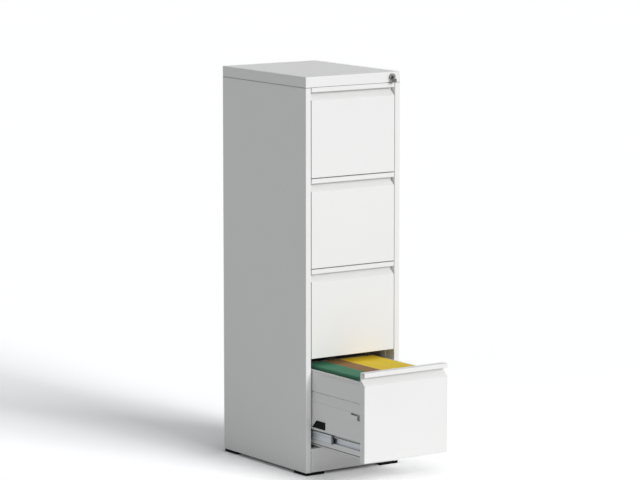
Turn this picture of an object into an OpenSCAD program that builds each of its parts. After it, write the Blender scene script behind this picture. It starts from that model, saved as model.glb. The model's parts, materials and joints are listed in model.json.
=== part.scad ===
// Four-drawer vertical filing cabinet in folded sheet steel.
// Frame: X to the right, Y to the back, Z up, millimetres. The origin is on the floor, in the
// middle of the whole outline with the bottom drawer standing open by drawer_pull.
// Side pieces are drawn on the left, with x as the distance in from the cabinet's outer side.
// Drawer pieces are drawn with y behind the drawer's face and z above its bottom edge.

/* [Cabinet body] */
// Overall width
body_w = 380; // [370:5:440]
// Depth of the cabinet with every drawer shut
body_d = 500; // [495:5:600]
// Overall height, feet included
body_h = 1330; // [1310:5:1400]
// Thickness of the body's sheet
body_sheet = 1; // [0.8:0.1:1.2]
// Inner radius of the body's folds
body_fold = 1; // [0.6:0.1:1.4]
// Width of each front stile
stile_w = 20.5; // [20:0.5:23]
// Depth of the flange folded back from each stile
stile_return = 49; // [44:1:49]
// Width of the rear flanges
rear_flange = 18; // [14:1:24]
// Height of the top cap
cap_h = 35; // [34:1:42]
// Radius of the cap's top edges
cap_round = 3; // [2:0.5:4]
// Height of the groove under the cap
cap_groove = 3; // [1:0.5:3]
// Height of the plinth's top edge above the floor
plinth_top = 91; // [80:1:110]
// Depth of the plinth's top shelf
plinth_shelf = 30; // [24:1:40]
// Gap between the plinth and each stile
plinth_gap = 0.6; // [0.4:0.1:1]
// Width of the hat-section slide uprights
upright_w = 30; // [24:1:36]
// Distance of the front uprights behind the front
front_upright_y = 50; // [50:1:60]
// Distance of the rear uprights behind the front
rear_upright_y = 380; // [340:5:385]
// Distance between the two wall-fixing holes
wall_hole_spacing = 240; // [200:10:260]
// Diameter of the wall-fixing holes
wall_hole_d = 8; // [6:0.5:9]
// Distance of the wall-fixing holes below the cap
wall_hole_drop = 18; // [16:1:20]

/* [Feet] */
// Height of the feet
foot_h = 10; // [8:1:14]
// Side of each square foot
foot_w = 73; // [60:1:76]
// Distance of the feet in from the cabinet's sides
foot_inset = 2.5; // [2:0.5:8]
// Diameter of the foot screws
foot_screw_d = 6; // [5:0.5:8]

/* [Drawer fronts] */
// Distance that the bottom drawer stands open
drawer_pull = 302; // [200:2:390]
// Thickness of a drawer front with its liner
front_t = 24.5; // [23:0.5:26]
// Gap between one front and the next
front_gap = 3; // [2:0.5:5]
// Gap between a front and each stile
side_gap = 2.5; // [1.5:0.5:3]
// Thickness of the front's sheet
front_sheet = 1; // [0.8:0.1:1.2]
// Inner radius of the front's folds
front_fold = 0.8; // [0.4:0.1:1.2]
// Height of the handle lip's front leg
lip_h = 15.5; // [12:0.5:20]
// Depth of the hem folded back from the lip's lower edge
lip_hem = 4.5; // [3:0.5:6]
// Height of the finger slot below the lip
slot_h = 10; // [9:0.5:16]
// Depth of the finger recess behind the face
recess_d = 19; // [17:0.5:20]
// Rise of the bevel that leads into the recess
bevel_h = 18; // [12:1:26]

/* [Drawer trays] */
// Length of a tray behind its front
tray_len = 440; // [435:5:450]
// Thickness of the tray's sheet
tray_sheet = 0.8; // [0.6:0.1:1]
// Distance of the tray's side tops below the front's top edge
tray_drop = 32.5; // [28:0.5:40]
// Width of the tray's top flanges
tray_flange = 8; // [6:0.5:11]
// Height of the tray's underside above the front's bottom edge
tray_floor_z = 8.5; // [7:0.5:12]
// Depth of the step under the tray's top hem
hem_step = 3.5; // [2:0.5:4]
// Depth of the grooves pressed into the tray's sides
groove_d = 4; // [3:0.5:5]
// Width of the grooves pressed into the tray's sides
groove_w = 2.8; // [2:0.2:4]
// Height of the swage band's lower edge above the front's bottom edge
swage_z = 162; // [162:0.5:170]
// Height of the swage band, up to its groove
swage_h = 33; // [26:1:34]
// Distance between the two file bars, centre to centre
file_bar_spacing = 330; // [320:1:340]
// Distance of the front file bar behind the face
file_bar_y = 36; // [36:0.5:40]
// Thickness of the file bars
file_bar_t = 3; // [2:0.5:4]

/* [Slides] */
// Length of the outer and inner slide members
slide_len = 400; // [390:5:410]
// Distance of the slides behind the drawer's face
slide_y = 28; // [27:0.5:30]
// Height of the slides' centre above the front's bottom edge
slide_z = 46.5; // [42:0.5:47]
// Height of the outer member
slide_h = 35; // [30:0.5:35.5]
// Width of a slide from upright to tray
slide_w = 13.2; // [12.7:0.1:14]
// Thickness of the slide members
slide_sheet = 1.1; // [0.9:0.1:1.2]
// Running gap for the balls above and below a member
ball_gap = 2; // [1.6:0.1:2.2]
// Distance of the middle member's front end behind the outer member's
middle_setback = 12; // [12:1:20]
// Length of the bumper on the middle member's front end
bumper_len = 10; // [6:1:11]
// Full travel of a drawer
drawer_travel = 400; // [360:5:400]

/* [Lock and key] */
// Distance of the lock's axis in from the right side
lock_x = 35.5; // [34:0.5:38]
// Diameter of the lock housing's collar
lock_collar_d = 21; // [20:0.5:23]
// How far the collar stands out of the cap
lock_proud = 9; // [6:0.5:11]
// Diameter of the lock housing's neck
lock_neck_d = 18; // [17:0.2:18.6]
// Diameter of the turning barrel
barrel_d = 12; // [11:0.2:13]
// Diameter of the cam's pin
cam_pin_d = 4; // [3:0.2:4.2]
// Travel of the locking bar
bar_travel = 16; // [15:0.5:16.2]
// Distance of the key's pivot in front of the cap
key_pivot_y = 16; // [15:0.5:20]
// Width of the key's grip
key_grip_w = 18; // [14:0.5:22]
// Height of the key's grip
key_grip_h = 12.5; // [8:0.5:13]
// Distance of the grip's top edge below the pivot
key_grip_drop = 6; // [5:0.5:6.5]

/* [Hanging files] */
// Height of the files' tops above the tray's top edge
file_rise = 12; // [10:0.5:14]
// Gap between the hanging files and the tray's floor
file_floor_gap = 28; // [16:1:60]
// Length of the hanging files
file_len = 318; // [306:1:318]
// Distance of the first file in from the cabinet's left side
file_start = 39; // [38:0.5:42]
// Thickness of the green group
green_w = 72; // [40:1:76]
// Thickness of the brown group
brown_w = 63; // [40:1:68]
// Thickness of the yellow group
yellow_w = 134; // [60:1:138]
// Distance from one hanger to the next
hanger_pitch = 8; // [6:0.5:14]

/* [Hidden] */

$fn = 48;
drawer_count = 4;

// Overall places
half_w = body_w / 2;
front_y = (drawer_pull - body_d) / 2;
cap_z = body_h - cap_h;
pitch = (cap_z - plinth_top) / drawer_count;
front_h = pitch - front_gap;
front_w = body_w - 2 * (stile_w + side_gap);
function drawer_z(k) = plinth_top + pitch * k + front_gap / 2;
function pull(k) = k == 0 ? drawer_pull : 0;

// Body details
body_corner = body_fold + body_sheet;
joint_inset = 0.8 * body_sheet;
joint_collar_h = 4;
top_flange = 7;
cap_flange = 12;
bottom_flange = foot_inset + foot_w + 4;
plinth_flange = 25;
plinth_lip = 12;
pan_front = 19.3;
fit_gap = 0.3;
sheet_pile = 2 * body_sheet;
upright_gap = 1.8;
upright_face = stile_w + upright_gap;
upright_lug = 12;
upright_top = cap_z - cap_groove - joint_collar_h - 0.5;
foot_screw_clear = 0.4;
foot_screw_head_d = 1.8 * foot_screw_d;
foot_screw_head_h = 3.5;
foot_skin = 2.5;
rivet_d = 3;
rivet_head_d = 6;
rivet_tail_d = 4.8;
rivet_head_h = 0.9;
rivet_clear = 0.2;
rivet_margin = 60;
rivet_count = 6;
back_rib_w = 26;
back_rib_d = 3;
back_rib_spacing = 110;

// Front details, as heights above the front's bottom edge
recess_floor_z = front_h - lip_h - slot_h;
bevel_z = recess_floor_z - bevel_h;

// Tray details
tray_fold = 0.4;
tray_top_z = front_h - tray_drop;
wall_gap = 3.1;
hem_gap = wall_gap - 0.4;
wall_x = upright_face + wall_gap;
hem_x = upright_face + hem_gap;
seat_x = upright_face + slide_w;
hem_h = 3;
hem_slope_h = 7.5;
swage_lean = 1.2;
crease_d = 1.3;
crease_h = 4;
hem_below = 2.5;
step_z = slide_z + slide_h / 2 + 1;
catch_z = 136;
catch_h = 15;
catch_y = 42;
catch_len = 36;
catch_proud = 2.2;
catch_bend = 12;
catch_foot = 8;
seam = 0.1;
window_rim_front = 13;
window_rim_top = 6;
catch_back_d = 6;
catch_back_lug = 4;
back_flange = 12;
tray_back_drop = 4;
file_bar_h = 14.5;
file_bar_rise = 2.5;
ramp_y = 227;
ramp_z = 73;
ramp_len = 73;
ramp_slant = 24;
ramp_h = 25;
ramp_proud = 2.3;

// Slide details
middle_h = slide_h - 2 * slide_sheet - 2 * ball_gap;
inner_h = middle_h - 2 * slide_sheet - 2 * ball_gap;
web_gap = 1;
outer_reach = 8.2;
middle_x = upright_face + slide_sheet + web_gap;
middle_reach = 8.8;
inner_reach = 8.5;
middle_len = slide_len - middle_setback;
bead_d = 1.2;
bead_half = 4.5;
bead_slope = 2.4;
bumper_t = 1.8;
bumper_arc = 20;
cage_gap = 0.4;
cage_t = ball_gap - 2 * cage_gap;
cage_w = 4.6;
cage_end = 4;

// Lock details
lock_z = cap_z + 19;
lock_depth = 22;
lock_neck_clear = 0.2;
barrel_clear = 0.06;
nut_d = 27;
nut_h = 4;
keyway_w = 2.3;
keyway_h = 8.2;
keyway_depth = 12;
key_blade_clear = 0.15;
cam_throw = bar_travel / sqrt(2);
cam_t = 2.5;
cam_seat = 0.3;
cam_pin_over = 2;
cam_screw_d = 8;
cam_screw_h = 2.5;
cam_hub_d = 14;
cam_arm_w = 8;
bar_y = 30;
bar_t = 3;
bar_x = 9;
bar_slot_clear = 0.8;
bar_slot_rim = 3;
bar_hook_h = 10.5;
bar_hook_reach = upright_face + hem_gap - 0.4;
bar_hook_lift = 2.5;
bar_tail = 30;
bar_hook_t = 5;
bar_edge_gap = 1.9;
hook_window_clear = 1.2;
guide_clear = 0.4;
guide_t = 1;
guide_h = 24;
guide_rise = 230;
guide_back = 2.5;
key_pin_d = 2.4;
key_eye_d = 6.5;
key_neck_t = 2;
key_ear_t = 1.3;
key_ear_gap = 0.25;
key_grip_t = 4;
key_tongue_w = 7;
key_tongue_t = 2.2;
key_tongue_bite = 8;

// File details
file_gap = 0.4;
file_taper = 4;
file_top_z = tray_top_z + file_rise;
file_h = file_top_z - tray_floor_z - tray_sheet - file_floor_gap;
file_mid_y = file_bar_y + file_bar_spacing / 2;
file_front_y = file_mid_y - file_len / 2;
hook_t = 1;
hook_h = 6;
hook_gap = 0.5;
hook_tip = 4;
hook_tip_drop = 5;
green_x = file_start;
brown_x = green_x + green_w + file_gap;
yellow_x = brown_x + brown_w + file_gap;

// Outline of a folded sheet: a path of straight legs, with the sheet's thickness on the right of
// the way the path runs, and a round fold at every corner.
fold_steps = 5;
function heading(p, q) = atan2(q[1] - p[1], q[0] - p[0]);
function right_of(a) = [sin(a), -cos(a)];
function turn(a, b) = b - a > 180 ? b - a - 360 : b - a <= -180 ? b - a + 360 : b - a;
function fold_arc(p, q, s, t, r, side) =
    let (a = heading(p, q), b = turn(a, heading(q, s)), n = right_of(a), m = right_of(a + b),
        centre = q + (b > 0 ? -r : t + r) * (n + m) / (1 + n * m),
        reach = b > 0 ? r + side * t : -(r + (1 - side) * t))
    [for (i = [0 : fold_steps]) centre + reach * right_of(a + b * i / fold_steps)];
function path_end(p, a, t, side) = [p + side * t * right_of(a)];
function sheet_side(path, t, r, side) =
    let (last = len(path) - 1)
    [for (i = [0 : last])
        for (point = i == 0 ? path_end(path[0], heading(path[0], path[1]), t, side)
            : i == last ? path_end(path[last], heading(path[last - 1], path[last]), t, side)
            : fold_arc(path[i - 1], path[i], path[i + 1], t, r, side)) point];
function reversed(list) = [for (i = [len(list) - 1 : -1 : 0]) list[i]];
function mirrored(path) = [for (p = reversed(path)) [-p[0], p[1]]];

module folded(path, t, r) {
    polygon(concat(sheet_side(path, t, r, 0), reversed(sheet_side(path, t, r, 1))));
}

// Extrusions of a profile along X (profile in Y and Z) and along Y (profile in X and Z)
module along_x(length) {
    rotate([90, 0, 90]) linear_extrude(length) children();
}

module along_y(length) {
    translate([0, length, 0]) rotate([90, 0, 0]) linear_extrude(length) children();
}

// A cylinder along Y that starts at the given point and runs backwards
module pin_y(d, length) {
    rotate([-90, 0, 0]) cylinder(d = d, h = length);
}

module both_sides() {
    children();
    mirror([1, 0, 0]) children();
}

// x becomes the distance in from the cabinet's left side, y the distance behind its front
module left_frame() {
    translate([-half_w, front_y, 0]) children();
}

module drawer_frame(k) {
    translate([0, front_y - pull(k), drawer_z(k)]) children();
}

module middle_frame(k) {
    translate([0, front_y - pull(k) / 2, drawer_z(k)]) children();
}

// ---- Body ----

module foot_places() {
    for (x = [foot_inset + foot_w / 2, body_w - foot_inset - foot_w / 2])
        for (y = [foot_inset + foot_w / 2, body_d - foot_inset - foot_w / 2])
            translate([x - half_w, front_y + y, 0]) children();
}

module foot_screw_holes() {
    foot_places()
        translate([0, 0, foot_h - 1]) cylinder(d = foot_screw_d + foot_screw_clear, h = sheet_pile + 2);
}

// Places of the rivets up the rear flanges, and of those along the cap's flanges
rivet_first_z = foot_h + rivet_margin;
rivet_step_z = (cap_z - foot_h - 2 * rivet_margin) / (rivet_count - 1);
rivet_x = rear_flange / 2 + 1;
cap_rivet_x = joint_inset + top_flange / 2 + 0.4;
cap_rivet_count = 5;
cap_rivet_step_y = (body_d - 2 * rivet_margin) / (cap_rivet_count - 1);

module rear_rivet_places() {
    for (i = [0 : rivet_count - 1])
        translate([rivet_x, body_d, rivet_first_z + i * rivet_step_z]) children();
}

module cap_rivet_places() {
    for (i = [0 : cap_rivet_count - 1])
        translate([cap_rivet_x, rivet_margin + i * cap_rivet_step_y, cap_z]) children();
}

module cap_rivet_holes() {
    both_sides() left_frame() cap_rivet_places()
        translate([0, 0, -2 * body_sheet])
            cylinder(d = rivet_d + rivet_clear, h = 4 * body_sheet);
}

// Stile, side wall and rear flange folded from one sheet, with a stepped-in collar under the cap
module side_panel() {
    wall_top = cap_z - cap_groove;
    flange_y = plinth_flange + fit_gap;
    difference() {
        left_frame() difference() {
            union() {
                translate([0, 0, foot_h]) linear_extrude(wall_top - foot_h)
                    folded([[stile_w, stile_return], [stile_w, 0], [0, 0], [0, body_d],
                        [rear_flange, body_d]], body_sheet, body_fold);
                translate([joint_inset, joint_inset, wall_top - joint_collar_h]) {
                    cube([body_sheet, body_d - 2 * joint_inset, cap_groove + joint_collar_h]);
                    cube([stile_w - joint_inset, body_sheet, cap_groove + joint_collar_h]);
                }
                translate([joint_inset, joint_inset, cap_z - body_sheet])
                    cube([top_flange, body_d - 2 * joint_inset, body_sheet]);
                translate([body_sheet / 2, flange_y, foot_h])
                    cube([bottom_flange, body_d - flange_y - body_sheet / 2, body_sheet]);
            }
            for (k = [0 : drawer_count - 1])
                translate([stile_w - 2 * body_sheet, bar_y + bar_t + seam - hook_window_clear,
                    hook_z(k) - bar_travel - hook_window_clear])
                    cube([3 * body_sheet, bar_hook_t + 2 * hook_window_clear,
                        bar_hook_h + bar_travel + 2 * hook_window_clear]);
            rear_rivet_places()
                translate([0, -1.5 * body_sheet, 0])
                    pin_y(rivet_head_d + rivet_clear, 2 * body_sheet);
        }
        foot_screw_holes();
        cap_rivet_holes();
    }
}

module left_side_panel() color("white") side_panel();

module right_side_panel() color("white") mirror([1, 0, 0]) side_panel();

// Back sheet with pressed ribs and a top flange, inside the rear flanges
module back_panel() {
    inner_face = body_d - sheet_pile;
    edge = body_corner;
    flange_x = joint_inset + top_flange + fit_gap;
    rib = [[-back_rib_w / 2, 0], [-back_rib_w / 2 + back_rib_d, -back_rib_d],
        [back_rib_w / 2 - back_rib_d, -back_rib_d], [back_rib_w / 2, 0]];
    ribs = [for (i = [-1 : 1]) for (p = rib) p + [i * back_rib_spacing, body_d - body_sheet]];
    path = concat([[edge - half_w, body_d - body_sheet]], ribs,
        [[half_w - edge, body_d - body_sheet]]);
    color("white") difference() {
        translate([0, front_y, 0]) union() {
            translate([0, 0, foot_h + sheet_pile])
                linear_extrude(cap_z - foot_h - sheet_pile) folded(path, body_sheet, body_fold);
            translate([flange_x - half_w, inner_face - cap_flange, cap_z - body_sheet])
                cube([body_w - 2 * flange_x, cap_flange + body_sheet / 2, body_sheet]);
        }
        both_sides() left_frame() {
            rear_rivet_places()
                translate([0, -4 * body_sheet, 0]) pin_y(rivet_d + rivet_clear, 5 * body_sheet);
            // Clear of the side panels' collars and top flanges
            translate([0, body_d - 6 * body_sheet, cap_z - cap_groove - joint_collar_h - fit_gap])
                cube([flange_x, 6 * body_sheet, cap_h]);
        }
        for (side = [-1, 1])
            translate([side * wall_hole_spacing / 2, front_y + body_d, cap_z - wall_hole_drop])
                translate([0, -5 * body_sheet, 0]) pin_y(wall_hole_d, 6 * body_sheet);
    }
}

// Rectangle with its top corners or with all its corners rounded
module round_top(w, h, r) {
    square([w, h - r]);
    translate([r, 0]) square([w - 2 * r, h]);
    for (x = [r, w - r]) translate([x, h - r]) circle(r);
}

module round_rect(w, h, r) {
    translate([0, r]) square([w, h - 2 * r]);
    translate([r, 0]) square([w - 2 * r, h]);
    for (x = [r, w - r]) for (y = [r, h - r]) translate([x, y]) circle(r);
}

// Block with rounded top edges and upright corners, set in by one value on every side but below
module cap_block(inset, drop) {
    w = body_w - 2 * inset;
    d = body_d - 2 * inset;
    h = cap_h - inset + drop;
    translate([inset - half_w, front_y + inset, cap_z - drop]) intersection() {
        along_y(d) round_top(w, h, cap_round - inset);
        along_x(w) round_top(d, h, cap_round - inset);
        linear_extrude(h) round_rect(w, d, body_corner - inset);
    }
}

// Lid-shaped top with a flange folded in along its lower edge, bored for the lock
module top_cap() {
    color("white") difference() {
        union() {
            difference() {
                cap_block(0, 0);
                cap_block(body_sheet, 1);
            }
            translate([-half_w, front_y, cap_z]) linear_extrude(body_sheet) difference() {
                round_rect(body_w, body_d, body_corner);
                translate([top_flange + joint_inset, cap_flange])
                    square([body_w - 2 * (top_flange + joint_inset), body_d - 2 * cap_flange]);
            }
        }
        translate([half_w - lock_x, front_y - 1, lock_z])
            pin_y(lock_neck_d + 2 * lock_neck_clear, 4);
        cap_rivet_holes();
    }
}

// Flat floor on the side panels' and the plinth's lower flanges, notched around the stiles
module base_pan() {
    edge = body_sheet + fit_gap;
    color("white") difference() {
        translate([edge - half_w, front_y + pan_front, foot_h + body_sheet])
            cube([body_w - 2 * edge, body_d - edge - pan_front, body_sheet]);
        both_sides() translate([-half_w, front_y, foot_h])
            cube([stile_w + fit_gap, stile_return + fit_gap, 3 * body_sheet]);
        foot_screw_holes();
    }
}

module plinth_panel() {
    edge = stile_w + plinth_gap;
    color("white") difference() {
        translate([edge - half_w, front_y, 0]) along_x(body_w - 2 * edge)
            folded([[plinth_flange, foot_h], [0, foot_h], [0, plinth_top], [plinth_shelf, plinth_top],
                [plinth_shelf, plinth_top - plinth_lip]], body_sheet, body_fold);
        foot_screw_holes();
    }
}

// Hat sections up each side wall, front and rear, that carry the slides
module slide_uprights() {
    floor_z = foot_h + sheet_pile;
    face = upright_face - body_sheet;
    color("gainsboro") both_sides() left_frame()
        for (y = [front_upright_y, rear_upright_y])
            translate([0, y, floor_z]) linear_extrude(upright_top - floor_z)
                folded([[body_sheet, -upright_lug], [body_sheet, 0], [face, 0], [face, upright_w],
                    [body_sheet, upright_w], [body_sheet, upright_w + upright_lug]],
                    body_sheet, body_fold);
}

module corner_feet() {
    color("black") foot_places() difference() {
        translate([-foot_w / 2, -foot_w / 2, 0]) cube([foot_w, foot_w, foot_h]);
        translate([0, 0, foot_skin])
            cylinder(d = foot_screw_d + foot_screw_clear, h = foot_h);
    }
}

// Screws from the base pan down into the feet
module foot_screws() {
    head_z = foot_h + sheet_pile;
    color("silver") foot_places() {
        translate([0, 0, foot_skin + 0.5]) cylinder(d = foot_screw_d, h = head_z - foot_skin);
        translate([0, 0, head_z]) cylinder(d = foot_screw_head_d, h = foot_screw_head_h, $fn = 6);
    }
}

// Flush rivets through the rear flanges, and rivets through the cap's and the sides' flanges
module panel_rivets() {
    color("gainsboro") both_sides() left_frame() {
        rear_rivet_places() {
            translate([0, -body_sheet, 0]) pin_y(rivet_head_d, body_sheet);
            translate([0, -2 * body_sheet - rivet_head_h, 0]) pin_y(rivet_d, 2 * body_sheet);
            translate([0, -2 * body_sheet - rivet_head_h, 0]) pin_y(rivet_tail_d, rivet_head_h);
        }
        cap_rivet_places() {
            translate([0, 0, -body_sheet - rivet_head_h]) {
                cylinder(d = rivet_d, h = 2 * body_sheet + 2 * rivet_head_h);
                cylinder(d = rivet_tail_d, h = rivet_head_h);
            }
            translate([0, 0, body_sheet]) cylinder(d = rivet_tail_d, h = rivet_head_h);
        }
    }
}

// ---- Slides ----

// Channel section of a slide member, open towards the drawer, centred on z = 0
module channel(x, reach, h, t) {
    folded([[x + reach, -h / 2], [x, -h / 2], [x, h / 2], [x + reach, h / 2]], t, body_fold);
}

module slide_member_frame() {
    translate([-half_w, slide_y, slide_z]) children();
}

module outer_slides() {
    color("silver") for (k = [0 : drawer_count - 1])
        translate([0, front_y, drawer_z(k)]) both_sides() slide_member_frame()
            along_y(slide_len) channel(upright_face, outer_reach, slide_h, slide_sheet);
}

module middle_slides(k) {
    color("lightsteelblue") middle_frame(k) both_sides() slide_member_frame()
        translate([0, middle_setback, 0])
            along_y(middle_len) folded([[middle_x + middle_reach, -middle_h / 2], [middle_x, -middle_h / 2],
                [middle_x, -bead_half - bead_slope], [middle_x + bead_d, -bead_half],
                [middle_x + bead_d, bead_half], [middle_x, bead_half + bead_slope],
                [middle_x, middle_h / 2], [middle_x + middle_reach, middle_h / 2]], slide_sheet, body_fold);
}

// Rounded plastic nose on the front end of each middle member, and the ball cages above and below
// it: the outer pair at its rear half, the inner pair at its front half, so that each stays between
// both members with the drawer fully out
module bumpers(k) {
    half_travel = drawer_travel / 2;
    inner_cage_x = seat_x - slide_sheet - body_fold - cage_w;
    outer_cage_z = middle_h / 2 + cage_gap;
    inner_cage_z = inner_h / 2 + cage_gap;
    color("black") middle_frame(k) both_sides() slide_member_frame() {
        translate([0, middle_setback - bumper_len, 0]) intersection() {
            along_y(bumper_len) channel(middle_x, middle_reach, middle_h, bumper_t);
            translate([middle_x - 1, bumper_arc, 0])
                rotate([0, 90, 0]) cylinder(r = bumper_arc, h = middle_reach + 2, $fn = 96);
        }
        for (turned = [0, 1]) mirror([0, 0, turned]) {
            translate([middle_x + body_fold, half_travel + cage_end, outer_cage_z])
                cube([cage_w, slide_len - half_travel - 2 * cage_end, cage_t]);
            translate([inner_cage_x, middle_setback + cage_end, inner_cage_z])
                cube([cage_w, slide_len - half_travel - middle_setback - 2 * cage_end, cage_t]);
        }
    }
}

// Channel on the tray's recessed wall, open towards the cabinet's side
module inner_slides(k) {
    color("lightsteelblue") drawer_frame(k) both_sides() slide_member_frame()
        along_y(slide_len)
            folded([[seat_x - inner_reach, inner_h / 2], [seat_x, inner_h / 2], [seat_x, -inner_h / 2],
                [seat_x - inner_reach, -inner_h / 2]], slide_sheet, body_fold);
}

// ---- Drawers ----

// Face, bevel, finger recess and hooked handle lip folded from one sheet
module front_skin(k) {
    t = front_sheet;
    liner_face = front_t - front_sheet;
    end_plate = [[t / 2, t / 2], [liner_face, t / 2], [liner_face, front_h - t],
        [recess_d + t / 2, front_h - t], [recess_d + t / 2, recess_floor_z + t / 2],
        [t / 2, bevel_z + t / 2]];
    color("white") drawer_frame(k) translate([-front_w / 2, 0, 0]) {
        along_x(front_w) folded([[liner_face, 0], [0, 0], [0, bevel_z], [recess_d, recess_floor_z],
            [recess_d, front_h - t], [t, front_h - t], [t, front_h - lip_h + t],
            [lip_hem, front_h - lip_h + t]], t, front_fold);
        for (x = [0, front_w - t])
            translate([x, 0, 0]) along_x(t) polygon(end_plate);
    }
}

// Inner pan that closes the back of the front
module liner(k) {
    t = front_sheet;
    foot_flange = 12;
    color("gainsboro") drawer_frame(k) translate([-front_w / 2, 0, 0]) {
        translate([0, front_t - t, t]) cube([front_w, t, front_h - t]);
        translate([0, recess_d + t, front_h - t]) cube([front_w, front_t - recess_d - t, t]);
        translate([t, front_t - foot_flange, t]) cube([front_w - 2 * t, foot_flange, t]);
    }
}

// One folded sheet: top flanges, swaged side walls, slide recesses and floor, with a spring catch
// spot-welded outside each wall, over a window that gives it room
module tray(k) {
    t = tray_sheet;
    under = tray_top_z - t;
    catch_back_len = window_rim_front + catch_len + catch_foot + 2;
    swage_top = swage_z + swage_h;
    seam_top = tray_floor_z + 2 * t + hem_below + groove_w;
    left = [[hem_x + tray_flange, under], [hem_x + t, under], [hem_x + t, under - hem_h],
        [hem_x + t + hem_step, under - hem_h], [wall_x + t, under - hem_h - hem_slope_h],
        [wall_x + t, swage_top + t], [wall_x + t + groove_d, swage_top + t],
        [wall_x + t + groove_d, swage_top - groove_w - t],
        [wall_x + t + swage_lean, swage_top - groove_w - t], [wall_x + t, swage_z],
        [wall_x + t + crease_d, swage_z - crease_h / 2], [wall_x + t, swage_z - crease_h],
        [wall_x + t, step_z + t], [seat_x + t, step_z + t],
        [seat_x + t, seam_top + t], [seat_x + t + groove_d, seam_top + t],
        [seat_x + t + groove_d, seam_top - groove_w - t], [seat_x + t, seam_top - groove_w - t],
        [seat_x + t, tray_floor_z + t]];
    placed = [for (p = left) [p[0] - half_w, p[1]]];
    color("white") drawer_frame(k) translate([0, front_t, 0]) {
        difference() {
            along_y(tray_len) folded(concat(placed, mirrored(placed)), t, tray_fold);
            both_sides() translate([wall_x - 1 - half_w, catch_y - window_rim_front - front_t, catch_z])
                cube([t + 2, catch_len + window_rim_front, catch_h + window_rim_top]);
        }
        both_sides() translate([wall_x - half_w - seam, catch_y - front_t, catch_z])
            linear_extrude(catch_h) polygon([[seam - catch_proud, 0], [seam - catch_proud + t, 0],
                [seam - catch_proud + t, catch_bend], [0, catch_len], [0, catch_len + catch_foot],
                [-t, catch_len + catch_foot], [-t, catch_len], [seam - catch_proud, catch_bend]]);
        both_sides()
            translate([wall_x + t + seam - half_w, catch_y - window_rim_front - front_t, catch_z - 2])
            linear_extrude(catch_h + window_rim_top + 2)
                folded([[0, -catch_back_lug], [0, -1], [catch_back_d, -1], [catch_back_d, catch_back_len],
                    [0, catch_back_len], [0, catch_back_len + catch_back_lug]], t, tray_fold);
    }
}

// Upright sheet across the rear end of the tray
module tray_back(k) {
    t = tray_sheet;
    low_x = seat_x + t + groove_d + tray_fold;
    high_x = wall_x + t + groove_d + tray_fold;
    floor_z = tray_floor_z + t;
    top_z = tray_top_z - t - hem_h - tray_back_drop;
    shoulder_z = step_z + t;
    color("white") drawer_frame(k) translate([0, front_t + tray_len - t, 0]) {
        translate([low_x - half_w, 0, floor_z]) cube([body_w - 2 * low_x, t, top_z - floor_z]);
        translate([high_x - half_w, 0, shoulder_z]) cube([body_w - 2 * high_x, t, top_z - shoulder_z]);
        both_sides() translate([low_x - half_w, t - back_flange, floor_z])
            cube([t, back_flange, shoulder_z - floor_z - 2 * t]);
        translate([high_x - half_w, t - back_flange, top_z - t])
            cube([body_w - 2 * high_x, back_flange, t]);
    }
}

// Bars that the hanging files ride on, seated across the tray's top flanges
module file_bars(k) {
    seat = tray_top_z;
    body_half = half_w - hem_x - tray_flange - fit_gap;
    ear_half = half_w - hem_x - 1;
    color("silver") drawer_frame(k)
        for (y = [file_bar_y, file_bar_y + file_bar_spacing])
            translate([0, y - file_bar_t / 2, 0]) {
                translate([-body_half, 0, seat + file_bar_rise - file_bar_h])
                    cube([2 * body_half, file_bar_t, file_bar_h]);
                translate([-ear_half, 0, seat]) cube([2 * ear_half, file_bar_t, file_bar_rise]);
            }
}

// Black ramps outside the tray that work the one-drawer-at-a-time interlock
module interlock_ramps(k) {
    color("black") drawer_frame(k) both_sides()
        translate([wall_x - ramp_proud - half_w, ramp_y, ramp_z]) along_x(ramp_proud)
            polygon([[0, 0], [ramp_len, 0], [ramp_len - ramp_slant, ramp_h], [0, ramp_h]]);
}

// ---- Lock ----

module lock_frame() {
    translate([half_w - lock_x, front_y, lock_z]) children();
}

module lock_housing() {
    bore_d = barrel_d + 2 * barrel_clear;
    color("silver") lock_frame() difference() {
        union() {
            translate([0, -lock_proud, 0]) pin_y(lock_collar_d, lock_proud);
            pin_y(lock_neck_d, lock_depth);
        }
        translate([0, -lock_proud - 1, 0]) pin_y(bore_d, lock_depth + lock_proud + 2);
    }
}

module lock_nut() {
    color("silver") lock_frame() difference() {
        translate([0, body_sheet, 0]) rotate([-90, 0, 0]) cylinder(d = nut_d, h = nut_h, $fn = 6);
        pin_y(lock_neck_d + 2 * lock_neck_clear, nut_h + 2 * body_sheet);
    }
}

module lock_barrel() {
    front = lock_proud + 0.5;
    color("gainsboro") lock_frame() difference() {
        translate([0, -front, 0]) pin_y(barrel_d, lock_depth + front + cam_seat);
        translate([-keyway_w / 2, -front - 1, -keyway_h / 2]) cube([keyway_w, keyway_depth + 1, keyway_h]);
    }
}

// Cam plate on the barrel's rear end, with its pin and its fixing screw
module lock_cam() {
    pin_len = bar_y + 2 * bar_t + seam + cam_pin_over - lock_depth - cam_seat;
    color("silver") lock_frame() translate([0, lock_depth + cam_seat, 0]) rotate([0, -45, 0]) {
        pin_y(cam_hub_d, cam_t);
        translate([0, 0, -cam_arm_w / 2]) cube([cam_throw, cam_t, cam_arm_w]);
        translate([cam_throw, 0, 0]) {
            pin_y(cam_arm_w, cam_t);
            pin_y(cam_pin_d, pin_len);
        }
        translate([0, cam_t, 0]) rotate([-90, 0, 0])
            cylinder(d = cam_screw_d, h = cam_screw_h, $fn = 6);
    }
}

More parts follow.
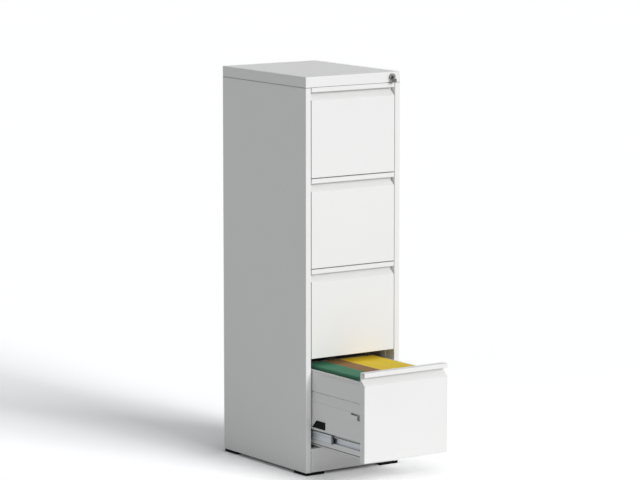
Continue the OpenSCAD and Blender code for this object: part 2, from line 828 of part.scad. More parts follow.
// Flat blade in the keyway, with its pivot eye in front of the lock
module key_blade() {
    blade_h = keyway_h - 2 * key_blade_clear;
    inside = keyway_depth - lock_proud - 1;
    color("silver") lock_frame() translate([-key_neck_t / 2, 0, 0]) difference() {
        union() {
            translate([0, -key_pivot_y, -key_eye_d / 2 + 0.5])
                cube([key_neck_t, key_pivot_y - lock_proud, key_eye_d - 1]);
            translate([0, -lock_proud - 2, -blade_h / 2])
                cube([key_neck_t, inside + lock_proud + 2, blade_h]);
            translate([0, -key_pivot_y, 0]) rotate([0, 90, 0]) cylinder(d = key_eye_d, h = key_neck_t);
        }
        translate([-1, -key_pivot_y, 0])
            rotate([0, 90, 0]) cylinder(d = key_pin_d + 0.12, h = key_neck_t + 2);
    }
}

// Folding tongue that hangs from the pivot: two ears, a pin and a stem
module key_tongue() {
    ear_x = key_neck_t / 2 + key_ear_gap;
    stem_top = -key_eye_d / 2 - 0.6;
    stem_h = key_grip_drop + key_tongue_bite + stem_top;
    color("silver") lock_frame() translate([0, -key_pivot_y, 0]) {
        for (x = [-ear_x - key_ear_t, ear_x]) {
            translate([x, 0, 0]) rotate([0, 90, 0]) cylinder(d = key_eye_d, h = key_ear_t);
            translate([x, -key_tongue_t / 2, stem_top - 1]) cube([key_ear_t, key_tongue_t, 1 - stem_top]);
        }
        translate([-ear_x - key_ear_t, 0, 0])
            rotate([0, 90, 0]) cylinder(d = key_pin_d, h = 2 * (ear_x + key_ear_t));
        translate([-key_tongue_w / 2, -key_tongue_t / 2, stem_top - stem_h])
            cube([key_tongue_w, key_tongue_t, stem_h]);
    }
}

// Rounded plastic grip around the tongue's lower end
module key_grip() {
    slot = 0.1;
    color("dimgray") lock_frame() translate([0, -key_pivot_y, -key_grip_drop]) difference() {
        translate([-key_grip_w / 2, -key_grip_t / 2, -key_grip_h])
            along_y(key_grip_t) round_rect(key_grip_w, key_grip_h, 4);
        translate([-key_tongue_w / 2 - slot, -key_tongue_t / 2 - slot, -key_tongue_bite - slot])
            cube([key_tongue_w + 2 * slot, key_tongue_t + 2 * slot, key_tongue_bite + 1]);
    }
}

// Heights of the bar's hooks when the lock is open, above each drawer's catch
function hook_z(k) = drawer_z(k) + catch_z + catch_h + bar_hook_lift;

// Flat bar behind the right stile, with a slotted head for the cam and a hook for each drawer
// welded to its rear face
module locking_bar() {
    pin_x = lock_x - cam_throw * cos(45);
    pin_z = lock_z + cam_throw * sin(45);
    slot_in = pin_x + cam_pin_d / 2 + bar_slot_clear;
    slot_out = lock_x - cam_throw - cam_pin_d / 2 - bar_slot_clear;
    head_half = cam_pin_d / 2 + bar_slot_clear + bar_slot_rim;
    foot_z = hook_z(0) - bar_tail;
    color("silver") mirror([1, 0, 0]) left_frame() translate([0, bar_y, 0]) {
        translate([bar_x, 0, foot_z])
            cube([stile_w - bar_x - bar_edge_gap, bar_t, pin_z + head_half - foot_z]);
        translate([0, bar_t + seam, 0]) {
            difference() {
                translate([bar_x, 0, pin_z - head_half])
                    cube([slot_in + bar_slot_rim - bar_x, bar_t, 2 * head_half]);
                translate([slot_out, -1, pin_z - cam_pin_d / 2 - bar_slot_clear])
                    cube([slot_in - slot_out, bar_t + 2, cam_pin_d + 2 * bar_slot_clear]);
            }
            for (k = [0 : drawer_count - 1])
                translate([bar_x, 0, hook_z(k)])
                    cube([bar_hook_reach - bar_x, bar_hook_t, bar_hook_h]);
        }
    }
}

// Clips on the right side wall that the bar slides in
module bar_guides() {
    inner_half = bar_t / 2 + guide_clear;
    color("silver") mirror([1, 0, 0]) left_frame()
        for (z = [drawer_z(0) + guide_rise, drawer_z(2), drawer_z(3) + guide_rise])
            translate([body_sheet, bar_y + bar_t / 2, z]) {
                for (y = [-inner_half - guide_t, inner_half])
                    translate([0, y, 0]) cube([stile_w - body_sheet - guide_back, guide_t, guide_h]);
                translate([0, -inner_half - guide_t, 0])
                    cube([guide_t, 2 * (inner_half + guide_t), guide_h]);
            }
}

// ---- Files ----

// A group of hanging files as one block that narrows towards the bottom
module file_block(x, w) {
    drawer_frame(0) translate([x - half_w, file_front_y, file_top_z - file_h]) along_y(file_len)
        polygon([[file_taper, 0], [w - file_taper, 0], [w, file_h / 2], [w, file_h], [0, file_h],
            [0, file_h / 2]]);
}

module green_files() color("seagreen") file_block(green_x, green_w);

module brown_files() color("peru") file_block(brown_x, brown_w);

module yellow_files() color("goldenrod") file_block(yellow_x, yellow_w);

// Steel hooks at both ends of each file, hung over the file bars
module file_hooks() {
    bar_top = tray_top_z + file_bar_rise;
    reach = file_front_y - file_bar_y + file_bar_t / 2 + hook_gap + hook_tip;
    hook = [[0, 0], [-reach + hook_tip, 0], [-reach + hook_tip, -hook_tip_drop], [-reach, -hook_tip_drop],
        [-reach, hook_h], [0, hook_h]];
    color("silver") drawer_frame(0)
        for (group = [[green_x, green_w], [brown_x, brown_w], [yellow_x, yellow_w]])
            for (x = [group[0] + hanger_pitch / 2 : hanger_pitch : group[0] + group[1] - 2])
                translate([x - half_w, file_mid_y, bar_top])
                    for (turned = [0, 1]) mirror([0, turned, 0])
                        translate([0, -file_len / 2, 0]) along_x(hook_t) polygon(hook);
}

// Node names of drawer k start with its place in the cabinet
place = ["bottom", "lower", "upper", "top"];

left_side_panel();
right_side_panel();
back_panel();
top_cap();
base_pan();
plinth_panel();
slide_uprights();
outer_slides();
corner_feet();
foot_screws();
panel_rivets();
lock_housing();
lock_nut();
bar_guides();
lock_barrel();
lock_cam();
key_blade();
key_tongue();
key_grip();
locking_bar();
for (k = [0 : drawer_count - 1]) {
    front_skin(k);
    liner(k);
    tray(k);
    tray_back(k);
    file_bars(k);
    interlock_ramps(k);
    inner_slides(k);
    middle_slides(k);
    bumpers(k);
}
green_files();
brown_files();
yellow_files();
file_hooks();
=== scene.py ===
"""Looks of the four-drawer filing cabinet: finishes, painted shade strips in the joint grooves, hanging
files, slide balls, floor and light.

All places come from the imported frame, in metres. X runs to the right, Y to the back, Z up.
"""

import json
import math

import bmesh
import bpy
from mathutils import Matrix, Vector
from mathutils.geometry import interpolate_bezier


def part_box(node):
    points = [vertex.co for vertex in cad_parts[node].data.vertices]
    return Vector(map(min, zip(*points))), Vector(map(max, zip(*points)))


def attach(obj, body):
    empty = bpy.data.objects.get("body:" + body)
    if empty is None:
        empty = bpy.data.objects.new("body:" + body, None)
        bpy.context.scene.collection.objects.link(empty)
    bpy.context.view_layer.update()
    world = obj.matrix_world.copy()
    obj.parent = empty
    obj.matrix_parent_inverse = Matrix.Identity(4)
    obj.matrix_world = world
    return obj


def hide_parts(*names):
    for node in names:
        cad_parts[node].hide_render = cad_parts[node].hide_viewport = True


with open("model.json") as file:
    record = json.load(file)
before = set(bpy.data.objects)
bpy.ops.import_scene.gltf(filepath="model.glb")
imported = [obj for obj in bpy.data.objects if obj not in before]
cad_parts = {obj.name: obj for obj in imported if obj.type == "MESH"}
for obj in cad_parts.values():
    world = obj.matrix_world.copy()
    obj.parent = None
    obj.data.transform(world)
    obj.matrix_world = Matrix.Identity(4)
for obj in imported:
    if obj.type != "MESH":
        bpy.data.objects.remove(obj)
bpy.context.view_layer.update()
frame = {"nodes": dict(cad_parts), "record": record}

MM = 0.001
PLACES = ("bottom", "lower", "upper", "top")

# How far the inner slide members stand out from the walls of their tray
INNER_REACH = 8.5 * MM


# ---- Camera ----

CAMERA_PLACE = (-6.1506, -8.8175, 2.3206)
CAMERA_DIP = 8.228  # degrees below level
CAMERA_HEADING = 34.61  # degrees from Y towards X
LENS = 182.7
SENSOR_WIDTH = 36
CLIP_END = 200


def make_camera():
    data = bpy.data.cameras.new("camera")
    data.sensor_width = SENSOR_WIDTH
    data.lens = LENS
    data.clip_end = CLIP_END
    camera = bpy.data.objects.new("camera", data)
    camera.location = CAMERA_PLACE
    camera.rotation_euler = (math.radians(90 - CAMERA_DIP), 0, math.radians(-CAMERA_HEADING))
    bpy.context.scene.collection.objects.link(camera)
    bpy.context.scene.camera = camera


make_camera()


# ---- Node trees ----

class Wire:
    """An output socket. Arithmetic on it adds Math nodes to its tree."""

    def __init__(self, tree, socket):
        self.tree = tree
        self.socket = socket

    def math(self, operation, first, second):
        values = {0: first} if second is None else {0: first, 1: second}
        return self.tree.node("ShaderNodeMath", {"operation": operation}, values)

    def __add__(self, other):
        return self.math("ADD", self, other)

    __radd__ = __add__

    def __sub__(self, other):
        return self.math("SUBTRACT", self, other)

    def __rsub__(self, other):
        return self.math("SUBTRACT", other, self)

    def __mul__(self, other):
        return self.math("MULTIPLY", self, other)

    __rmul__ = __mul__

    def __truediv__(self, other):
        return self.math("DIVIDE", self, other)

    def __rtruediv__(self, other):
        return self.math("DIVIDE", other, self)

    def floor(self):
        return self.math("FLOOR", self, None)

    def limited(self):
        """The value, held between 0 and 1."""
        return self.tree.node("ShaderNodeClamp", {}, {"Value": self})


class Tree:
    """A node tree, for a material, the world or a Geometry Nodes group."""

    def __init__(self, node_tree):
        self.node_tree = node_tree

    def node(self, kind, settings=None, values=None, output=0):
        """Adds a node: first its settings, then the values or links of its sockets. Sockets that
        share a name with others go by number."""
        made = self.node_tree.nodes.new(kind)
        for name, value in (settings or {}).items():
            setattr(made, name, value)
        for name, value in (values or {}).items():
            if isinstance(value, Wire):
                self.node_tree.links.new(value.socket, made.inputs[name])
            else:
                made.inputs[name].default_value = value
        return Wire(self, made.outputs[output]) if made.outputs else made


class Finish(Tree):
    """A material whose patterns read Object coordinates."""

    def __init__(self, name):
        self.material = bpy.data.materials.new(name)
        self.material.use_nodes = True
        super().__init__(self.material.node_tree)
        self.node_tree.nodes.clear()
        self.place = self.node("ShaderNodeTexCoord", output="Object")

    def along(self, axis):
        """How far the place lies along "X", "Y" or "Z"."""
        return self.node("ShaderNodeSeparateXYZ", {}, {"Vector": self.place}, axis)

    def stretched(self, x=1.0, y=1.0, z=1.0):
        """The place, scaled by one factor along each axis."""
        return self.node("ShaderNodeMapping", {}, {"Vector": self.place, "Scale": (x, y, z)})

    def noise(self, scale, detail=2.0, roughness=0.5, place=None):
        """Soft noise with about as many lumps to the metre as the scale says."""
        return self.node("ShaderNodeTexNoise", {"noise_dimensions": "3D"},
                         {"Vector": place or self.place, "Scale": scale, "Detail": detail,
                          "Roughness": roughness})

    def chance(self, number):
        """A random value between 0 and 1 for each whole number."""
        return self.node("ShaderNodeTexWhiteNoise", {"noise_dimensions": "1D"}, {"W": number})

    def blend(self, factor, first, second):
        """A colour between the first and the second."""
        return self.node("ShaderNodeMix", {"data_type": "RGBA"}, {0: factor, 6: first, 7: second}, 2)

    def bump(self, height, distance, strength=1.0, under=None):
        """Relief from a height between 0 and 1, over the relief under it."""
        values = {"Height": height, "Distance": distance, "Strength": strength}
        if under:
            values["Normal"] = under
        return self.node("ShaderNodeBump", {}, values)

    def surface(self, **values):
        """Ends the material in one Principled shader. Underscores stand for spaces in socket names."""
        named = {name.replace("_", " "): value for name, value in values.items()}
        shader = self.node("ShaderNodeBsdfPrincipled", {}, named)
        self.node("ShaderNodeOutputMaterial", {}, {"Surface": shader})
        return self.material


def shade(color, factor):
    """The colour, darkened or lightened by a factor."""
    return (color[0] * factor, color[1] * factor, color[2] * factor, 1)


# ---- Finishes ----

def powder_coat(name, color):
    """Baked powder coat: an even satin film with a fine orange peel and faint clouding."""
    finish = Finish(name)
    clouds = finish.noise(6, 3)
    peel = finish.noise(900, 2)
    ripple = finish.noise(160, 1)
    grain = finish.noise(2500, 1)
    tint = finish.blend(clouds * 0.7 + grain * 0.3, shade(color, 0.975), shade(color, 1.02))
    relief = finish.bump(peel, 0.02 * MM, 0.6, finish.bump(ripple, 0.08 * MM, 0.25))
    return finish.surface(Base_Color=tint, Roughness=0.36 + clouds * 0.06 + peel * 0.08, Normal=relief,
                          Specular_IOR_Level=0.42, Coat_Roughness=0.2, Coat_Weight=0.08)


def zinc_steel(name, color):
    """Zinc-plated sheet: bright, faintly blue, with rolling lines along Y and soft spangle."""
    finish = Finish(name)
    lines = finish.noise(1, 3, 0.6, finish.stretched(1500, 12, 1500))
    spangle = finish.noise(90, 2)
    smear = finish.noise(14, 3)
    tint = finish.blend(lines * 0.5 + spangle * 0.5, shade(color, 0.84), shade(color, 1.1))
    return finish.surface(Base_Color=tint, Metallic=1.0, Roughness=0.26 + spangle * 0.14 + smear * 0.14,
                          Normal=finish.bump(lines, 0.02 * MM, 0.5))


def nickel_plate(name, color):
    """Polished nickel on a die-cast body, with fine turning marks and handling haze."""
    finish = Finish(name)
    haze = finish.noise(260, 3)
    marks = finish.noise(1, 2, 0.5, finish.stretched(300, 4000, 300))
    tint = finish.blend(haze, shade(color, 0.85), shade(color, 1.05))
    return finish.surface(Base_Color=tint, Metallic=1.0, Roughness=0.16 + haze * 0.16,
                          Normal=finish.bump(marks, 0.01 * MM, 0.4))


def moulded_plastic(name, color, roughness, gloss=0.5):
    """Moulded plastic with a fine spark-eroded grain and paler scuffs."""
    finish = Finish(name)
    grain = finish.noise(2200, 2)
    scuffs = finish.noise(70, 4, 0.7)
    tint = finish.blend(scuffs * 0.6 + grain * 0.4, shade(color, 0.8), shade(color, 1.45))
    return finish.surface(Base_Color=tint, Roughness=roughness + scuffs * 0.14,
                          Normal=finish.bump(grain, 0.03 * MM, 0.6), Specular_IOR_Level=gloss)


HANGER_PITCH = 8 * MM


def card(group, color):
    """Dyed card: fibres, streaks along each folder, and a slightly different dye from one folder to
    the next."""
    finish = Finish(group + "_card")
    fibre = finish.noise(1400, 3, 0.65)
    streaks = finish.noise(1, 3, 0.6, finish.stretched(420, 16, 60))
    folder = ((finish.along("X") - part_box(group + "_files")[0][0]) / HANGER_PITCH).floor()
    mix = (streaks * 0.55 + fibre * 0.2 + finish.chance(folder) * 0.25).limited()
    tint = finish.blend(mix, shade(color, 0.78), shade(color, 1.2))
    relief = finish.bump(fibre, 0.06 * MM, 0.5, finish.bump(streaks, 0.1 * MM, 0.3))
    return finish.surface(Base_Color=tint, Roughness=0.62 + fibre * 0.2, Normal=relief)


BRIGHT_PAPER = (0.78, 0.76, 0.70, 1)
CREAM_PAPER = (0.70, 0.62, 0.46, 1)
PAPER_BATCH = 3 * MM  # along X, from one tone of paper to the next


def paper(name):
    """Copy paper, from bright to cream."""
    finish = Finish(name)
    fibre = finish.noise(1800, 2)
    batch = finish.chance((finish.along("X") / PAPER_BATCH).floor())
    tint = finish.blend(batch * 0.8 + fibre * 0.2, BRIGHT_PAPER, CREAM_PAPER)
    return finish.surface(Base_Color=tint, Roughness=0.8, Normal=finish.bump(fibre, 0.04 * MM, 0.4))


finishes = {
    "white_powder_coat": powder_coat("white_powder_coat", (0.80, 0.80, 0.79)),
    "zinc_steel": zinc_steel("zinc_steel", (0.40, 0.42, 0.44)),
    "nickel_plate": nickel_plate("nickel_plate", (0.31, 0.305, 0.295)),
    "black_plastic": moulded_plastic("black_plastic", (0.003, 0.003, 0.0033), roughness=0.7, gloss=0.1),
    "bumper_plastic": moulded_plastic("bumper_plastic", (0.15, 0.155, 0.17), roughness=0.55, gloss=0.3),
    "ball_steel": nickel_plate("ball_steel", (0.62, 0.63, 0.64)),
    "grey_plastic": moulded_plastic("grey_plastic", (0.10, 0.10, 0.10), roughness=0.4),
    "green_card": card("green", (0.046, 0.21, 0.118)),
    "brown_card": card("brown", (0.29, 0.162, 0.06)),
    "yellow_card": card("yellow", (0.84, 0.61, 0.027)),
    # A mid grey for the painted shade strips in the joint under the cap
    "joint_shade_grey": moulded_plastic("joint_shade_grey", (0.36, 0.36, 0.36), roughness=0.6, gloss=0.3),
    "copy_paper": paper("copy_paper"),
}


def paint_cad_nodes():
    """Each node gets the finish of its slot, but the slides' bumpers are greyer than the black
    plastic whose slot they share."""
    for part in frame["record"]["subparts"]:
        finish = "bumper_plastic" if part["node"].endswith("_bumpers") else part["material_slot"]
        for slot in frame["nodes"][part["node"]].material_slots:
            slot.material = finishes[finish]


paint_cad_nodes()


# ---- Meshes ----

BALL_SEGMENTS = 10
BALL_RINGS = 6


def link(name, mesh):
    piece = bpy.data.objects.new(name, mesh)
    bpy.context.scene.collection.objects.link(piece)
    return piece


def finished(name, bm):
    """A new piece from a BMesh."""
    mesh = bpy.data.meshes.new(name)
    bm.to_mesh(mesh)
    bm.free()
    return link(name, mesh)


def extruded(name, outline, axis, low, high, steps=1):
    """A closed outline carried along Y ("y", outline in X and Z) or Z ("z", outline in X and Y)."""
    def corner(point, along):
        return (point[0], along, point[1]) if axis == "y" else (point[0], point[1], along)

    bm = bmesh.new()
    rings = []
    for i in range(steps + 1):
        along = low + (high - low) * i / steps
        rings.append([bm.verts.new(corner(point, along)) for point in outline])
    count = len(outline)
    for ring, after in zip(rings, rings[1:]):
        for j in range(count):
            bm.faces.new((ring[j], ring[(j + 1) % count], after[(j + 1) % count], after[j]))
    bm.faces.new(rings[0])
    bm.faces.new(rings[-1])
    bmesh.ops.recalc_face_normals(bm, faces=bm.faces)
    return finished(name, bm)


def ball(name, radius):
    """A smooth ball of few faces, to be copied many times."""
    bm = bmesh.new()
    bmesh.ops.create_uvsphere(bm, u_segments=BALL_SEGMENTS, v_segments=BALL_RINGS, radius=radius)
    piece = finished(name, bm)
    piece.data.shade_smooth()
    return piece


def discard(piece):
    bpy.data.objects.remove(piece)


# ---- Rows of copies, by Geometry Nodes ----

WAVES = 22  # to the metre

ROW_INPUTS = {
    "Copy": "NodeSocketObject", "Count": "NodeSocketInt", "Step": "NodeSocketVector",
    "Shift": "NodeSocketVector", "Waviness": "NodeSocketFloat", "Seed": "NodeSocketInt",
    "Material": "NodeSocketMaterial"}


def row_tree():
    """From each point of the incoming mesh starts a row of copies. Each copy is shifted a little
    at random, and a slow wave runs through them all."""
    group = bpy.data.node_groups.new("rows_of_copies", "GeometryNodeTree")
    face = group.interface
    face.new_socket("Geometry", in_out="INPUT", socket_type="NodeSocketGeometry")
    for name, kind in ROW_INPUTS.items():
        face.new_socket(name, in_out="INPUT", socket_type=kind)
    face.new_socket("Geometry", in_out="OUTPUT", socket_type="NodeSocketGeometry")
    tree = Tree(group)
    entry = group.nodes.new("NodeGroupInput")

    def given(name):
        return Wire(tree, entry.outputs[name])

    line = tree.node("GeometryNodeMeshLine", {"mode": "OFFSET"},
                     {"Count": given("Count"), "Offset": given("Step")})
    lines = tree.node("GeometryNodeInstanceOnPoints", {},
                      {"Points": given("Geometry"), "Instance": line})
    points = tree.node("GeometryNodeRealizeInstances", {}, {"Geometry": lines})
    copy = tree.node("GeometryNodeObjectInfo", {"transform_space": "RELATIVE"},
                     {"Object": given("Copy")}, "Geometry")
    copies = tree.node("GeometryNodeInstanceOnPoints", {}, {"Points": points, "Instance": copy})
    back = tree.node("ShaderNodeVectorMath", {"operation": "SCALE"},
                     {0: given("Shift"), "Scale": -1.0})
    shift = tree.node("FunctionNodeRandomValue", {"data_type": "FLOAT_VECTOR"},
                      {"Min": back, "Max": given("Shift"), "Seed": given("Seed")})
    placed = tree.node("GeometryNodeTranslateInstances", {},
                       {"Instances": copies, "Translation": shift, "Local Space": False})
    real = tree.node("GeometryNodeRealizeInstances", {}, {"Geometry": placed})
    wave = tree.node("ShaderNodeTexNoise", {"noise_dimensions": "3D"},
                     {"Scale": WAVES, "Detail": 1.0}, "Color")
    centred = tree.node("ShaderNodeVectorMath", {"operation": "SUBTRACT"},
                        {0: wave, 1: (0.5, 0.5, 0.5)})
    offset = tree.node("ShaderNodeVectorMath", {"operation": "SCALE"},
                       {0: centred, "Scale": given("Waviness")})
    waved = tree.node("GeometryNodeSetPosition", {}, {"Geometry": real, "Offset": offset})
    done = tree.node("GeometryNodeSetMaterial", {},
                     {"Geometry": waved, "Material": given("Material")})
    tree.node("NodeGroupOutput", {}, {"Geometry": done})
    return group


row_group = row_tree()


def rows(name, starts, copy, count, step, material, shift=(0, 0, 0), waviness=0.0, seed=1):
    """One plain mesh of the copies in all the rows. The copy is an object at the origin."""
    mesh = bpy.data.meshes.new(name + "_starts")
    mesh.from_pydata(starts, [], [])
    piece = link(name, mesh)
    modifier = piece.modifiers.new("rows", "NODES")
    modifier.node_group = row_group
    given = {"Copy": copy, "Count": count, "Step": step, "Shift": shift, "Waviness": waviness,
             "Seed": seed, "Material": material}
    for item in row_group.interface.items_tree:
        if item.in_out == "INPUT" and item.name in given:
            modifier[item.identifier] = given[item.name]
    graph = bpy.context.evaluated_depsgraph_get()
    graph.update()
    piece_mesh = bpy.data.meshes.new_from_object(piece.evaluated_get(graph))
    piece.modifiers.remove(modifier)
    piece.data = piece_mesh
    piece_mesh.name = name
    return piece


# ---- Painted joint shade ----

SHADE_INSET = 0.2 * MM  # between a painted-shade strip and the faces of its groove

CAP_SHADE_DEPTH = 0.45 * MM
CAP_SHADE_HEIGHT = 2.6 * MM
CAP_SHADE_DROP = 0.1 * MM  # below the cap
CAP_SHADE_TURN = 1.2 * MM  # cut off the corner between side wall and stile
CAP_SHADE_REACH = 20 * MM  # along the stile, from the side wall's face
CAP_SHADE_BACK = 2 * MM  # short of the side wall's rear edge

TRAY_SHEET = 0.8 * MM  # the thickness of a tray's walls
TRAY_GROOVE_LOW = 4.1 * MM  # above the tray's underside
TRAY_GROOVE_HIGH = 6.9 * MM
TRAY_GROOVE_DEPTH = 4 * MM
TRAY_SHADE_END = 1 * MM  # short of the tray's ends


def inward(side):
    """The direction of X from one side of the cabinet towards its middle."""
    return 1 if side == "left" else -1


def make_cap_joint_shade(side):
    """A grey strip in the groove under the cap, along one side wall and round onto its stile: painted
    shade for the joint's shadow line.
    """
    low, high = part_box(side + "_side_panel")
    way = inward(side)
    wall = low[0] if side == "left" else high[0]
    outer = wall + way * SHADE_INSET
    inner = outer + way * CAP_SHADE_DEPTH
    end = wall + way * CAP_SHADE_REACH
    front, back = low[1] + SHADE_INSET, high[1] - CAP_SHADE_BACK
    outline = [(inner, back), (outer, back), (outer, front + CAP_SHADE_TURN),
               (outer + way * CAP_SHADE_TURN, front), (end, front), (end, front + CAP_SHADE_DEPTH),
               (inner, front + CAP_SHADE_DEPTH)]
    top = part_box("top_cap")[0][2] - CAP_SHADE_DROP
    shade_strip = extruded(side + "_cap_seal", outline, "z", top - CAP_SHADE_HEIGHT, top)
    shade_strip.data.materials.append(finishes["joint_shade_grey"])
    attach(shade_strip, "cabinet")


def make_tray_groove_shade(place, side):
    """A dark strip set back in the groove above the tray's floor: painted shade that darkens the
    groove's shadow line.
    """
    low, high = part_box(place + "_tray")
    way = inward(side)
    wall = way * (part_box(place + "_inner_slides")[0][0] + INNER_REACH)
    outer, inner = wall + way * TRAY_SHEET, wall + way * (TRAY_GROOVE_DEPTH - SHADE_INSET)
    bottom, top = low[2] + TRAY_GROOVE_LOW + SHADE_INSET, low[2] + TRAY_GROOVE_HIGH - SHADE_INSET
    outline = [(outer, bottom), (inner, bottom), (inner, top), (outer, top)]
    shade_strip = extruded(f"{place}_{side}_tray_seal", outline, "y",
                    low[1] + TRAY_SHADE_END, high[1] - TRAY_SHADE_END)
    # Near black, as painted shade in the groove
    shade_strip.data.materials.append(finishes["grey_plastic"])
    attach(shade_strip, place + "_drawer")


for side in ("left", "right"):
    make_cap_joint_shade(side)
    for place in PLACES:
        make_tray_groove_shade(place, side)


# ---- Hanging files ----

CARD = 0.4 * MM
FIRST_HANGER = 4 * MM  # from a colour group's left end
LAST_HANGER = 2 * MM  # at least, from its right end
ROUNDING = 1e-6  # keeps a whole number of pitches from being cut to one fewer

FOLD_HALF = 3.8 * MM  # half a folder's width, where it folds over its hanger
HEMS_END = 21 * MM  # below the crown, where a folder is down to its own thickness

# The turned-down hems, from the lowest corner up, in millimetres: how far each corner steps back
# from the fold's side, and how far it lies below the crown
HEMS = ((1.6, 13.0), (1.1, 12.4), (1.1, 8.4), (0.55, 8.1), (0.55, 4.3), (0, 4.0))

# The curve of the fold's shoulder, from its upright side to its flat crown, as an end, two handles
# and an end: shares of FOLD_HALF across, and millimetres up from the crown
SHOULDER = ((1, -1.5), (0.969, -0.378), (0.804, -0.056), (0.4, 0))
SHOULDER_POINTS = 5

FOLDER_STEPS = 12  # along its length, so that it can bend with the waves
FOLDER_END = 0.6 * MM  # short of the CAD block's ends
CROWN_DROP = 0.5 * MM  # below the CAD block's top
FOOT_RISE = 1.5 * MM  # above its underside
FOLDER_SHIFT = (0.08 * MM, 0.4 * MM, 0.3 * MM)
FOLDER_WAVINESS = 0.7 * MM

SHEETS = 4  # beside each hanger
SHEET_HALF = 0.12 * MM
SHEET_PITCH = 1.5 * MM
FIRST_SHEET = 1.2 * MM  # from the hanger's middle
SHEET_DROP = 24 * MM  # below the CAD block's top
SHEET_RISE = 8 * MM  # above its underside
SHEET_END = 8 * MM  # short of its ends
SHEET_SHIFT = (0.3 * MM, 3 * MM, 3 * MM)

FILE_SEEDS = {"green": 3, "brown": 5, "yellow": 7}
SHEET_SEED = 20  # more than the seed of its folders


def shoulder():
    """Points along the rounded edge of a fold."""
    curve = [Vector((x * FOLD_HALF, z * MM)) for x, z in SHOULDER]
    return [tuple(point) for point in interpolate_bezier(*curve, SHOULDER_POINTS)]


def folder_outline(height):
    """A card folded over a flat hanger and hanging down from it, seen along Y: x from the
    hanger's middle, z from its crown."""
    hems = [(FOLD_HALF - back * MM, -depth * MM) for back, depth in HEMS]
    right = [(CARD / 2, -height), (CARD / 2, -HEMS_END)] + hems + shoulder()
    left = [(-x, z) for x, z in reversed(right)]
    return right + left


def hanger_row(color):
    """Where a colour group's first hanger is along X, and how many hangers it holds."""
    low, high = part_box(color + "_files")
    pitches = int((high[0] - low[0] - FIRST_HANGER - LAST_HANGER) / HANGER_PITCH + ROUNDING)
    return low[0] + FIRST_HANGER, pitches + 1


def make_folders(color):
    """The hanging folders of one colour, in the place of their CAD block."""
    low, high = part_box(color + "_files")
    first, count = hanger_row(color)
    height = high[2] - low[2] - CROWN_DROP - FOOT_RISE
    sample = extruded("folder", folder_outline(height), "y", low[1] + FOLDER_END,
                      high[1] - FOLDER_END, FOLDER_STEPS)
    folders = rows(color + "_hanging_files", [(first, 0, high[2] - CROWN_DROP)], sample, count,
                   (HANGER_PITCH, 0, 0), finishes[color + "_card"], FOLDER_SHIFT, FOLDER_WAVINESS,
                   FILE_SEEDS[color])
    discard(sample)
    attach(folders, "bottom_drawer")
    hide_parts(color + "_files")


def make_papers(color):
    """The sheets of paper in one colour's folders, a few beside each hanger's card."""
    low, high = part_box(color + "_files")
    first, count = hanger_row(color)
    top, bottom = high[2] - SHEET_DROP, low[2] + SHEET_RISE
    outline = [(-SHEET_HALF, bottom), (SHEET_HALF, bottom), (SHEET_HALF, top), (-SHEET_HALF, top)]
    sheet = extruded("sheet", outline, "y", low[1] + SHEET_END, high[1] - SHEET_END)
    starts = [(first + i * HANGER_PITCH + FIRST_SHEET, 0, 0) for i in range(count - 1)]
    papers = rows(color + "_file_papers", starts, sheet, SHEETS, (SHEET_PITCH, 0, 0),
                  finishes["copy_paper"], SHEET_SHIFT, seed=FILE_SEEDS[color] + SHEET_SEED)
    discard(sheet)
    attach(papers, "bottom_drawer")


for color in FILE_SEEDS:
    make_folders(color)
    make_papers(color)


# ---- Slide balls ----

BALL = 0.85 * MM  # radius
BALL_PITCH = 9 * MM
BALL_GAP = 2 * MM  # between a slide member and the one it runs in
CAGE_END = 4 * MM
MIDDLE_SETBACK = 12 * MM  # the middle members start this far behind the outer ones
OUTER_ROW = 3.3 * MM  # from the middle member's outer face in to its balls
INNER_ROW = 4.4 * MM  # from the tray's wall out to the inner member's balls


def joint_travel(name):
    """How far a sliding joint goes between its limits."""
    joint = next(j for j in frame["record"]["behaviour"]["joints"] if j["name"] == name)
    return joint["range_m"][1] - joint["range_m"][0]


def make_balls(place):
    """Steel balls of one drawer's slides, in their cages: rows above and below the middle member's
    rear half, and rows above and below the inner member in its front half."""
    low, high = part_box(place + "_middle_slides")
    inner_low, inner_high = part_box(place + "_inner_slides")
    half_travel = joint_travel(place + "_drawer_slide") / 2
    centre = (low[2] + high[2]) / 2
    start = low[1] - MIDDLE_SETBACK
    row_length = high[1] - start - half_travel - 2 * CAGE_END - 2 * BALL
    wall = -inner_low[0] - INNER_REACH
    outer = (start + half_travel, -low[0] - OUTER_ROW, (high[2] - low[2] + BALL_GAP) / 2)
    inner = (low[1], wall + INNER_ROW, (inner_high[2] - inner_low[2] + BALL_GAP) / 2)
    starts = [(side * x, y + CAGE_END + BALL, centre + rise * z)
              for y, x, z in (outer, inner) for side in (-1, 1) for rise in (-1, 1)]
    sample = ball("ball", BALL)
    count = int((row_length - MIDDLE_SETBACK) / BALL_PITCH)
    balls = rows(place + "_slide_balls", starts, sample, count, (0, BALL_PITCH, 0),
                 finishes["ball_steel"])
    discard(sample)
    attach(balls, place + "_runner")


for place in PLACES:
    make_balls(place)


# ---- Floor, world and light ----

FLOOR_REACH = 60  # from its middle to each edge
FLOOR_TONES = ((0.95, 0.95, 0.95, 1), (0.97, 0.97, 0.97, 1))
FLOOR_PALE = (1.79, 1.78, 1.78, 1)  # above 1, so that the lamps' light on it shows as white
BASE_EDGE = 8 * MM  # how softly the pale floor ends beneath the base, where the painted shade under the cabinet begins
CONTACT_REACH = 300 * MM  # reach of the painted contact shadow out from the base, and half as much again to the front
PAINTED_SHADOW_STRENGTH = 0.55  # how dark the painted contact shadow is: how much of the paling is lost right beside the cabinet
SKY_COLOR = (0.945, 0.97, 1.0, 1)
SKY_STRENGTH = 0.22


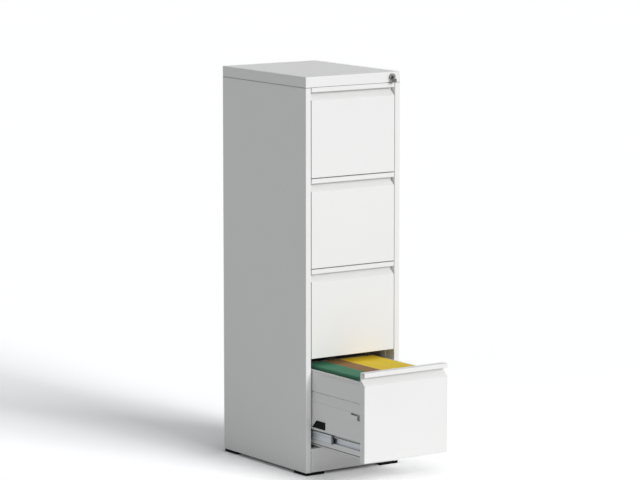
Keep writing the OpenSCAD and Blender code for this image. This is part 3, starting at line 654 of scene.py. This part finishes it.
def shown(tree):
    """1 for what the camera sees, straight, mirrored or through glass, and 0 for light."""
    straight = tree.node("ShaderNodeLightPath", output="Is Camera Ray")
    mirrored = tree.node("ShaderNodeLightPath", output="Is Glossy Ray")
    through = tree.node("ShaderNodeLightPath", output="Is Transmission Ray")
    return (straight + mirrored + through).limited()


def within(along, low, high, soft):
    """1 where a coordinate lies between two values, easing to 0 over a soft edge outside them."""
    rising = ((along - (low - soft)) / soft).limited()
    falling = (((high + soft) - along) / soft).limited()
    return rising * falling


def make_floor():
    """Matt pale floor. It shows to the camera paler than it is, less so close to the cabinet and not
    at all beneath it: a painted contact shadow around the base and painted shade under the cabinet."""
    finish = Finish("studio_floor")
    low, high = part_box("base_pan")
    x, y = finish.along("X"), finish.along("Y")
    # Painted shade under the cabinet and a painted contact shadow round its base, darker whatever the
    # lamps do
    beneath = within(x, low[0], high[0], BASE_EDGE) * within(y, low[1], high[1], BASE_EDGE)
    painted_contact_shadow = (within(x, low[0], high[0], CONTACT_REACH)
            * within(y, low[1] - CONTACT_REACH / 2, high[1], CONTACT_REACH))
    paling = shown(finish) * (1 - beneath) * (1 - painted_contact_shadow * painted_contact_shadow * PAINTED_SHADOW_STRENGTH)
    tint = finish.blend(finish.noise(30, 2), *FLOOR_TONES)
    diffuse = finish.node("ShaderNodeBsdfDiffuse", {},
                          {"Color": finish.blend(paling, tint, FLOOR_PALE)})
    finish.node("ShaderNodeOutputMaterial", {}, {"Surface": diffuse})
    corners = [(-FLOOR_REACH, -FLOOR_REACH, 0), (FLOOR_REACH, -FLOOR_REACH, 0),
               (FLOOR_REACH, FLOOR_REACH, 0), (-FLOOR_REACH, FLOOR_REACH, 0)]
    mesh = bpy.data.meshes.new("floor")
    mesh.from_pydata(corners, [], [(0, 1, 2, 3)])
    mesh.materials.append(finish.material)
    link("floor", mesh)


def make_world():
    """White to the camera and in reflections. The light it gives is a faint blue sky's."""
    world = bpy.data.worlds.new("studio")
    bpy.context.scene.world = world
    world.use_nodes = True
    world.node_tree.nodes.clear()
    tree = Tree(world.node_tree)
    sky = tree.node("ShaderNodeBackground", {}, {"Color": SKY_COLOR, "Strength": SKY_STRENGTH})
    white = tree.node("ShaderNodeBackground", {}, {"Color": (1, 1, 1, 1), "Strength": 1.0})
    both = tree.node("ShaderNodeMixShader", {}, {0: shown(tree), 1: sky, 2: white})
    tree.node("ShaderNodeOutputWorld", {}, {"Surface": both})


def make_sun(name, azimuth, elevation, strength, spread):
    """A lamp that shines from an azimuth (0 is the front, 90 the right) and an elevation."""
    data = bpy.data.lights.new(name, "SUN")
    data.energy = strength
    data.angle = math.radians(spread)
    lamp = bpy.data.objects.new(name, data)
    turn, rise = math.radians(azimuth), math.radians(elevation)
    source = Vector((math.sin(turn) * math.cos(rise), -math.cos(turn) * math.cos(rise),
                     math.sin(rise)))
    lamp.rotation_euler = source.to_track_quat("Z", "Y").to_euler()
    bpy.context.scene.collection.objects.link(lamp)


make_floor()
make_world()
make_sun("key", azimuth=18, elevation=25, strength=1.13, spread=22)
make_sun("key_side", azimuth=5, elevation=21, strength=0.96, spread=16)
make_sun("overhead", azimuth=12, elevation=60, strength=0.25, spread=40)
make_sun("fill", azimuth=-40, elevation=8, strength=0.3, spread=60)

bpy.context.scene.view_settings.view_transform = "Standard"
